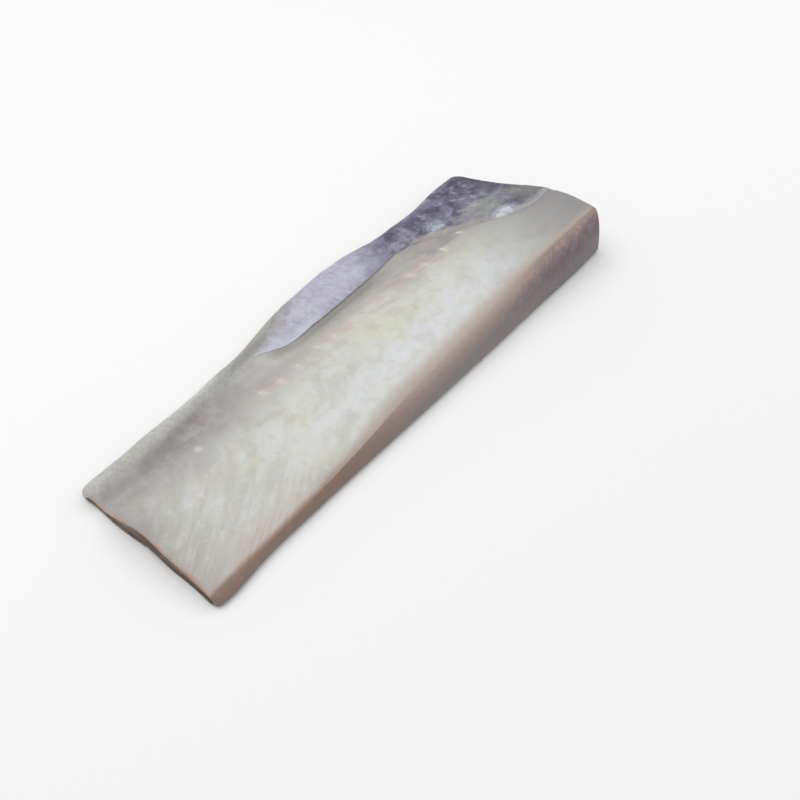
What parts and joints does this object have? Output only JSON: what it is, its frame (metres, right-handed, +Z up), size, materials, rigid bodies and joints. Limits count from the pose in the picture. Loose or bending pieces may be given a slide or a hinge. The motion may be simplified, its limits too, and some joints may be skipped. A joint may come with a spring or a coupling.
{
  "type": "salted dried cod loin",
  "caption": "Long slab of salted dried cod cut along the back of a split fish: thick cream flesh on its skin, thin at the tail, with a thin belly flap along one side.",
  "frame": {"origin": "on the table, under the middle of the bounding box", "axes": "+X along the loin from the thin tail cut to the thick head cut, +Y from the skin-covered back edge to the belly flap, +Z up from the skin to the flesh"},
  "size_m": [0.3814, 0.1356, 0.038],
  "materials": {
    "flesh": "cream salted flesh, slightly moist, with faint flakes and a soft sheen",
    "skin": "grey-brown fish skin with very fine scales, satin",
    "lining": "thin silvery membrane, dark and speckled towards the head, satin",
    "bone": "pinkish white bone tips, satin"
  },
  "bodies": {
    "root": {"cod_loin": "flesh"}
  },
  "joints": []
}
